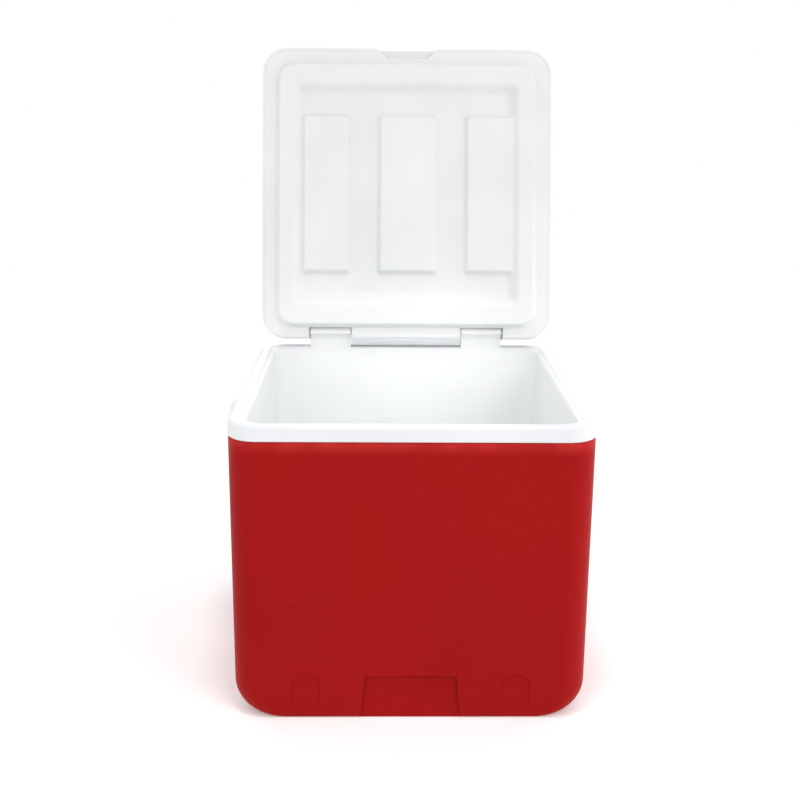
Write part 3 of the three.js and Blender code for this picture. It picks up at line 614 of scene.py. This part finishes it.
def collar_ring():
    """Solid block of the collar, with a chamfered foot and a rounded top edge."""
    rings = [ring(COLLAR_X - COLLAR_CHAMFER, COLLAR_Y - COLLAR_CHAMFER, PLAN_R, RIM_Z - COLLAR),
             ring(COLLAR_X, COLLAR_Y, PLAN_R + 1 * MM, RIM_Z - COLLAR + COLLAR_CHAMFER)]
    for i in range(9):
        angle = math.pi / 2 * i / 8
        pull = COLLAR_ROUND * (1 - math.cos(angle))
        rings.append(ring(COLLAR_X - pull, COLLAR_Y - pull, PLAN_R + 1 * MM - pull,
                          RIM_Z - COLLAR_ROUND * (1 - math.sin(angle))))
    return loft("tub_moulding", rings)


def hinge_lug(side):
    """Barrel on a foot that flows down into the rear rim."""
    front = COLLAR_Y - 14 * MM
    low = RIM_Z - 4 * MM
    outline = [(front, low), (COLLAR_Y + 3 * MM, low)]
    outline += arc(HINGE_POINT[1], HINGE_POINT[2], LUG_R, 0, 180, 24)
    outline += [(front, HINGE_POINT[2])]
    near, far = sorted((side * (LUG_X - LUG_HALF), side * (LUG_X + LUG_HALF)))
    lug = prism("lug", outline, near, far, "X")
    hole = rod_x("hole", near - 1 * MM, far + 1 * MM, HINGE_POINT[1], HINGE_POINT[2], PIN_R + GAP, 24)
    return combine(lug, "DIFFERENCE", [hole])


def tub_moulding():
    """Tub, collar and lugs in one piece; its inside and the lugs are painted paler than its outside, as
    painted light that lifts their shade.
    """
    trim = block("trim", -BODY_X, BODY_X, -BODY_Y, BODY_Y, 0, RIM_Z - 1 * MM)
    outside = combine(tub_space(WALL), "INTERSECT", [trim])
    tub = combine(collar_ring(), "UNION", [outside])
    combine(tub, "DIFFERENCE", [tub_space(0)])
    combine(tub, "UNION", [hinge_lug(-1), hinge_lug(1)])
    combine(tub, "DIFFERENCE", [rod_x("hole", DRAIN_FROM, BODY_X, DRAIN_Y, DRAIN_Z, DRAIN_HOLE, 48)])
    finish_piece(tub, COLLAR_PAINTED_DARKER, "box", "liner_tub", 0.8 * MM)
    tub.data.materials.append(TUB_PAINTED_PALER)
    # painted light: faces inside the opening and on the hinge lugs take the paler copy of the white
    for face in tub.data.polygons:
        x, y, z = face.center
        within = abs(x) < OPENING_X + 3 * MM and abs(y - TUB_SHIFT) < OPENING_Y + 3 * MM
        lug = y > COLLAR_Y - 16 * MM and z > RIM_Z + 0.5 * MM
        face.material_index = 1 if within or lug else 0


# ---- lid, built closed and then turned open ----
LID_X = COLLAR_X - 1.5 * MM
LID_SHIFT = 2 * MM
LID_Y = COLLAR_Y - LID_SHIFT
LID_TOP = LID_Z + 44.5 * MM
LID_ROUND = 14 * MM
FLANGE_TOP = LID_Z + WALL
KNUCKLE_HALF = 71 * MM
KNUCKLE_R = 17.5 * MM
PIN_BLOCK = (127.7 * MM, 140 * MM)            # solid ends around the hinge pins, from and to in x
PIN_BLOCK_R = 9 * MM
PIN_HOLE = (56 * MM, 138 * MM)
NOTCH_Y = 176.3 * MM
PLUG = (171.5 * MM, 174.5 * MM, 25 * MM)      # half sizes and corner radius of the raised plug
PLUG_SHIFT = 1.5 * MM
PLUG_SLOPE = 8 * MM                           # width of the sloping edge
RECESS = (149.5 * MM, 148 * MM, 12 * MM)
RECESS_SLOPE = 20 * MM
PANELS = [(1 * MM, 41 * MM), (-105.5 * MM, 34 * MM), (108.5 * MM, 35 * MM)]   # centre and half width
PANEL_HALF_Y = 106 * MM
PANEL_CORNER = 6 * MM
PANEL_SLOPE = 8 * MM
PLUG_DROP = 10 * MM
RECESS_RISE = 2 * MM
PANEL_DROP = 5 * MM
SKIN = 2.6 * MM
SCOOP_MOUTH_HALF = 48 * MM
SCOOP_BACK_HALF = 27 * MM
SCOOP_REACH = 13 * MM                         # from the edge of the lid inwards
SCOOP_DEPTH = 22 * MM
SCOOP_SEEN_DEPTH = 13 * MM                    # depth of the visible scoop


def open_up(obj):
    """Turns a piece of the closed lid to the open rest position about the hinge line."""
    turn = Matrix.Rotation(-OPEN_ANGLE, 3, "X")
    for vertex in obj.data.vertices:
        vertex.co = turn @ (vertex.co - HINGE_POINT) + HINGE_POINT


def lid_envelope(name, inset, bottom):
    """Outside of the closed lid, moved inward by `inset`."""
    rings = [ring(LID_X - inset, LID_Y - inset, PLAN_R - inset, bottom, LID_SHIFT)]
    for i in range(11):
        angle = math.pi / 2 * i / 10
        pull = inset + (LID_ROUND - inset) * (1 - math.cos(angle))
        rings.append(ring(LID_X - pull, LID_Y - pull, PLAN_R - pull,
                          LID_TOP - LID_ROUND + (LID_ROUND - inset) * math.sin(angle), LID_SHIFT))
    return loft(name, rings)


def scoop_outline(grow):
    """Plan of the finger scoop, wide at the edge of the lid and narrower inside."""
    edge = LID_SHIFT - LID_Y
    mouth, back = edge - 9 * MM, edge + SCOOP_REACH + grow
    wide, narrow = SCOOP_MOUTH_HALF + grow, SCOOP_BACK_HALF + grow
    return [(-wide, mouth), (wide, mouth), (narrow, back), (-narrow, back)]


def front_scoop(grow):
    """Finger scoop in the front edge of the lid, wide at the edge and narrow inside."""
    return prism("scoop", scoop_outline(grow), LID_Z - 10 * MM, LID_Z + SCOOP_DEPTH + grow)


def sloped_scoop():
    """The same scoop, not so deep, with walls that close in towards its ceiling."""
    levels = [(0, LID_Z - 10 * MM), (0, LID_Z + 0.5 * MM), (-2 * MM, LID_Z + SCOOP_SEEN_DEPTH)]
    return loft("scoop", [[(x, y, z) for x, y in scoop_outline(grow)] for grow, z in levels])


def lug_notches(grow):
    """Low notch beside the plug and a deeper one above the liner, for each hinge lug."""
    tools = []
    reach = LUG_HALF + 1.2 * MM + grow
    deep = HINGE_POINT[1] - LUG_R - 1.8 * MM - grow
    behind = LID_Y + 40 * MM
    for side in (-1, 1):
        near, far = side * LUG_X - reach, side * LUG_X + reach
        tools.append(block("notch", near, far, NOTCH_Y, behind, LID_Z - 20 * MM, FLANGE_TOP + 1 * MM))
        tools.append(block("notch", near, far, deep, behind, FLANGE_TOP + GAP, LID_TOP + 20 * MM))
    return tools


def rear_relief():
    """Rounds the lower rear edge about the hinge line, so that it clears the rim as the lid turns."""
    y, z = HINGE_POINT[1], HINGE_POINT[2]
    corner = block("relief", -BODY_X, BODY_X, y, LID_Y + 14 * MM, LID_Z - 1 * MM, z)
    barrel = rod_x("round", -BODY_X - 1 * MM, BODY_X + 1 * MM, y, z, z - LID_Z, 96)
    return combine(corner, "DIFFERENCE", [barrel])


def top_recess():
    """Shallow panel sunk into the top of the lid, with sloping edges."""
    low = ring(146 * MM, 148 * MM, 24 * MM, LID_TOP - 1.6 * MM, LID_SHIFT)
    high = ring(150 * MM, 152 * MM, 28 * MM, LID_TOP + 1 * MM, LID_SHIFT)
    return between("panel", low, high)


def lid_moulding():
    """Outer shell of the lid: hollow, with notches, scoop and the knuckle between the hinge lugs."""
    y, z = HINGE_POINT[1], HINGE_POINT[2]
    pin_blocks = [rod_x("block", *sorted((side * PIN_BLOCK[0], side * PIN_BLOCK[1])), y, z, PIN_BLOCK_R, 48)
                  for side in (-1, 1)]
    pin_blocks.append(rod_x("block", -KNUCKLE_HALF, KNUCKLE_HALF, y, z, KNUCKLE_R, 72))
    hollow = combine(lid_envelope("lid_inside", WALL, LID_Z - 1 * MM), "DIFFERENCE",
                     lug_notches(WALL) + [front_scoop(WALL)] + pin_blocks)
    lid = combine(lid_envelope("lid_moulding", 0, LID_Z), "DIFFERENCE", [hollow])
    combine(lid, "UNION", [rod_x("knuckle", -KNUCKLE_HALF, KNUCKLE_HALF, y, z, KNUCKLE_R, 72)])
    pin_holes = [rod_x("hole", *sorted((side * PIN_HOLE[0], side * PIN_HOLE[1])), y, z, PIN_R + GAP, 24)
                 for side in (-1, 1)]
    combine(lid, "DIFFERENCE", lug_notches(0) + [sloped_scoop(), rear_relief(), top_recess()] + pin_holes)
    open_up(lid)
    finish_piece(lid, WHITE, "lid", "lid_shell", 0.8 * MM)


def inside(x, y, half_x, half_y, radius):
    """Distance from the edge of a rounded rectangle, positive inside."""
    qx = np.abs(x) - half_x + radius
    qy = np.abs(y) - half_y + radius
    outer = np.hypot(np.maximum(qx, 0), np.maximum(qy, 0))
    return radius - outer - np.minimum(np.maximum(qx, qy), 0)


def soft_step(distance, width):
    """0 outside, 1 beyond `width`, with a rounded foot and shoulder."""
    t = np.clip(distance / width, 0, 1)
    return t * t * t * (t * (6 * t - 15) + 10)


def liner_height(x, y):
    """Height of the moulded face over the rim plane of the closed lid."""
    height = -PLUG_DROP * soft_step(inside(x, y - PLUG_SHIFT, *PLUG), PLUG_SLOPE)
    height += (PLUG_DROP + RECESS_RISE) * soft_step(inside(x, y, *RECESS), RECESS_SLOPE)
    for centre, half in PANELS:
        face = soft_step(inside(x - centre, y, half, PANEL_HALF_Y, PANEL_CORNER), PANEL_SLOPE)
        height += face * np.minimum(-PANEL_DROP - height, 0)
    return height


def sheet(name, xs, ys, height, thick):
    """Closed plate over a grid: a shaped lower face, the same face raised by `thick`, and a rim."""
    grid_x, grid_y = np.meshgrid(xs, ys)
    columns, rows = len(xs), len(ys)
    lower = np.stack([grid_x, grid_y, height(grid_x, grid_y)], -1).reshape(-1, 3)
    upper = lower + (0, 0, thick)
    count = columns * rows
    faces = []
    for row in range(rows - 1):
        for column in range(columns - 1):
            a = row * columns + column
            quad = (a, a + columns, a + columns + 1, a + 1)
            faces.append(quad)
            faces.append(tuple(i + count for i in reversed(quad)))
    rim = list(range(columns))
    rim += [r * columns + columns - 1 for r in range(1, rows)]
    rim += [(rows - 1) * columns + c for c in range(columns - 2, -1, -1)]
    rim += [r * columns for r in range(rows - 2, 0, -1)]
    for first, second in zip(rim, rim[1:] + rim[:1]):
        faces.append((first, second, second + count, first + count))
    return add_object(name, np.concatenate([lower, upper]).tolist(), faces)


def grid_lines(half, marks, fine=1.3 * MM, coarse=9 * MM):
    """Grid positions from -half to half, close together inside each (low, high) mark."""
    spots = {-half, half}
    for low, high in marks:
        steps = max(2, round((high - low) / fine))
        spots.update(round(low + (high - low) * i / steps, 7) for i in range(steps + 1))
    ordered = sorted(s for s in spots if -half <= s <= half)
    lines = []
    for first, second in zip(ordered, ordered[1:]):
        steps = max(1, math.ceil((second - first) / coarse))
        lines += [first + (second - first) * i / steps for i in range(steps)]
    return np.array(lines + [ordered[-1]])


def both_sides(marks):
    """The same stretches, and their mirror images."""
    return marks + [(-high, -low) for low, high in marks]


def lid_liner():
    """Underside moulding of the lid, with a soft-edged plug, a recess and three panels."""
    clear = 0.1 * MM                          # air between the flange and the shell around it
    flange_x, flange_y = LID_X - WALL - clear, LID_Y - WALL - clear
    panel_edges = []
    for centre, half in PANELS:
        panel_edges.append((centre - half, centre - half + PANEL_SLOPE))
        panel_edges.append((centre + half - PANEL_SLOPE, centre + half))
    xs = grid_lines(flange_x + 4 * MM, panel_edges + both_sides([
        (PLUG[0] - 26 * MM, PLUG[0]), (RECESS[0] - 22 * MM, RECESS[0])]))
    ys = grid_lines(flange_y + 4 * MM, both_sides([
        (PLUG[1] - 26 * MM, PLUG[1] + PLUG_SHIFT), (RECESS[1] - 22 * MM, RECESS[1]),
        (PANEL_HALF_Y - PANEL_SLOPE, PANEL_HALF_Y)]))
    liner = sheet("lid_liner_moulding", xs, ys, liner_height, SKIN)
    for vertex in liner.data.vertices:
        vertex.co += Vector((0, LID_SHIFT, LID_Z))
    outline = loft("outline", [ring(flange_x, flange_y, PLAN_R - WALL, LID_Z + lift, LID_SHIFT)
                               for lift in (-20 * MM, 20 * MM)])
    combine(liner, "INTERSECT", [outline])
    combine(liner, "DIFFERENCE", lug_notches(WALL - clear) + [front_scoop(WALL - clear)])
    open_up(liner)
    finish_piece(liner, LINER, "lid", "lid_liner", 0.5 * MM, 40)


# ---- tyres with tread and the ribbed grip ----
def turned(name, profile, y, z, segments, cut_depth=None):
    """Closed ring turned about X from a closed profile of (radius, x); some steps may be cut into the rim."""
    count = len(profile)
    points = []
    for i in range(segments):
        angle = 2 * math.pi * i / segments
        for k, (radius, x) in enumerate(profile):
            reach = radius - (cut_depth(i, k) if cut_depth else 0)
            points.append((x, y + reach * math.cos(angle), z + reach * math.sin(angle)))
    faces = []
    for i in range(segments):
        for k in range(count):
            a, b = i * count + k, i * count + (k + 1) % count
            c, d = (i + 1) % segments * count + (k + 1) % count, (i + 1) % segments * count + k
            faces.append((a, b, c, d))
    return add_object(name, points, faces)


TYRE_THICK = 9.7 * MM
TREAD_DEPTH = 1.6 * MM
BAR_BORE = 5.3 * MM
RIB_COUNT = 14
RIB_DEPTH = 1.1 * MM


def tyre(side):
    """Tyre with two rows of staggered tread blocks and a raised bead by the rim."""
    low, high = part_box(f"wheel_tyre_{side}")
    middle = (low[0] + high[0]) / 2
    half = (high[0] - low[0]) / 2
    bore = WHEEL_R - TYRE_THICK
    lug_steps = 4
    half_profile = [(bore, half - 2 * MM), (bore + 2 * MM, half), (bore + 3.5 * MM, half),
                    (bore + 4.2 * MM, half - 0.8 * MM), (WHEEL_R - 4 * MM, half - 0.8 * MM),
                    (WHEEL_R - 1.2 * MM, half - 2.2 * MM), (WHEEL_R, half - 5 * MM),
                    (WHEEL_R, 2 * MM), (WHEEL_R - 2 * MM, 1.2 * MM)]
    profile = [(r, middle + x) for r, x in half_profile]
    profile += [(r, middle - x) for r, x in reversed(half_profile)]
    crown = {5, 6, 7}
    other_crown = {len(profile) - 1 - k for k in crown}

    def tread(i, k):
        if k in crown:
            return TREAD_DEPTH if i % lug_steps == 0 else 0
        if k in other_crown:
            return TREAD_DEPTH if (i + lug_steps // 2) % lug_steps == 0 else 0
        return 0

    piece = turned(f"tyre_{side}", profile, AXLE[1], AXLE[2], 120, tread)
    finish_piece(piece, TYRE, f"wheel_{side}", f"wheel_tyre_{side}", 0.3 * MM)


def ribbed_grip():
    """Sleeve on the pull bar with finger ribs."""
    low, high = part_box("pull_grip")
    y, z = (low[1] + high[1]) / 2, (low[2] + high[2]) / 2
    radius = (high[2] - low[2]) / 2
    valley = radius - RIB_DEPTH
    profile = [(BAR_BORE, low[0]), (BAR_BORE, high[0])]
    profile += [(radius - 1.5 * MM, high[0]), (radius, high[0] - 2 * MM)]
    start, end = high[0] - 8 * MM, low[0] + 8 * MM
    pitch = (end - start) / RIB_COUNT
    for i in range(RIB_COUNT):
        at = start + pitch * i
        profile += [(radius, at), (valley, at + pitch * 0.2), (valley, at + pitch * 0.4),
                    (radius, at + pitch * 0.6)]
    profile += [(radius, low[0] + 2 * MM), (radius - 1.5 * MM, low[0])]
    grip = turned("pull_grip_sleeve", profile, y, z, 48)
    finish_piece(grip, BLACK, "pull_handle", "pull_grip", 0.3 * MM)


body_moulding()
tub_moulding()
lid_moulding()
lid_liner()
tyre("right")
tyre("left")
ribbed_grip()


# ---- camera and light ----
CAMERA_PLACE = (-0.0322, -1.269, 0.641)
CAMERA_DOWN, CAMERA_RIGHT, CAMERA_ROLL = 11.07, 0.96, 0.48    # degrees
CAMERA_LENS = 50.4


def aim_camera():
    """Placed in front of the box, a little left of centre and above the rim, looking slightly down."""
    camera = bpy.data.objects.new("camera", bpy.data.cameras.new("camera"))
    bpy.context.collection.objects.link(camera)
    pitch, yaw, roll = math.radians(CAMERA_DOWN), math.radians(CAMERA_RIGHT), math.radians(CAMERA_ROLL)
    forward = Vector((math.sin(yaw) * math.cos(pitch), math.cos(yaw) * math.cos(pitch), -math.sin(pitch)))
    right = Vector((math.cos(yaw), -math.sin(yaw), 0))
    up = right.cross(forward)
    tilted = right * math.cos(roll) + up * math.sin(roll)
    top = up * math.cos(roll) - right * math.sin(roll)
    matrix = Matrix((tilted, top, -forward)).transposed().to_4x4()
    matrix.translation = Vector(CAMERA_PLACE)
    camera.matrix_world = matrix
    camera.data.lens = CAMERA_LENS
    camera.data.sensor_width = 36.0
    camera.data.shift_y = -0.1
    bpy.context.scene.camera = camera


def add_area(name, location, target, size, strength, spread=180, height=None):
    """Soft light with no mirror image that adds `strength` times the sky's light at the target.

    It is a disc, or a rectangle when a height is given."""
    light = bpy.data.lights.new(name, "AREA")
    distance = (Vector(target) - Vector(location)).length
    half = math.radians(spread) / 2
    focus = math.tan(half) / (math.tan(half) - half) if spread < 180 else 1
    light.energy = strength * (math.pi * distance) ** 2 / focus
    light.size = size
    light.shape = "DISK" if height is None else "RECTANGLE"
    if height is not None:
        light.size_y = height
    light.spread = math.radians(spread)
    lamp = bpy.data.objects.new(name, light)
    lamp.location = location
    lamp.rotation_euler = (Vector(target) - Vector(location)).to_track_quat("-Z", "Y").to_euler()
    lamp.visible_glossy = False
    bpy.context.collection.objects.link(lamp)


def add_floor():
    """Wide pale disc with a faint glow, so that it comes out as white as the sky."""
    bm = bmesh.new()
    bmesh.ops.create_circle(bm, cap_ends=True, radius=3.2, segments=128)
    mesh = bpy.data.meshes.new("floor")
    bm.to_mesh(mesh)
    bm.free()
    floor = bpy.data.objects.new("floor", mesh)
    bpy.context.collection.objects.link(floor)
    g = Graph("floor_paint")
    g.set("Base Color", g.mix(g.remap(g.noise(3.0), 0.3, 0.7, 0, 1), (1.0, 1.0, 1.0), (0.985, 0.985, 0.985)))
    g.set("Roughness", 0.9)
    g.set("Specular IOR Level", 0.1)
    g.set("Emission Color", (1, 1, 1, 1))
    g.set("Emission Strength", 0.13)
    g.bump([(g.noise(200.0), 0.05, 0.1 * MM)])
    paint(floor, g.material)


def light_studio():
    """Even white sky, a weak key light, and narrow lights on the right side, the tub and the hinge."""
    world = bpy.data.worlds.new("studio")
    bpy.context.scene.world = world
    world.use_nodes = True
    background = world.node_tree.nodes["Background"]
    background.inputs["Color"].default_value = (1, 1, 1, 1)
    background.inputs["Strength"].default_value = 1.0
    add_area("key", (1.3, -1.5, 2.0), (0, 0, 0.35), 1.0, 0.13)
    add_area("side_right", (1.6, -0.16, 0.18), (0.19, -0.1, 0.12), 0.32, 0.45, 40)
    add_area("over_tub", (0, -0.35, 1.35), (0, -0.01, 0.15), 0.3, 0.8, 28)
    add_area("hinge_fill", (0, -1.0, 0.62), (0, 0.18, 0.315), 0.30, 0.5, 11, 0.03)
    bpy.context.scene.view_settings.view_transform = "Standard"


aim_camera()
add_floor()
light_studio()
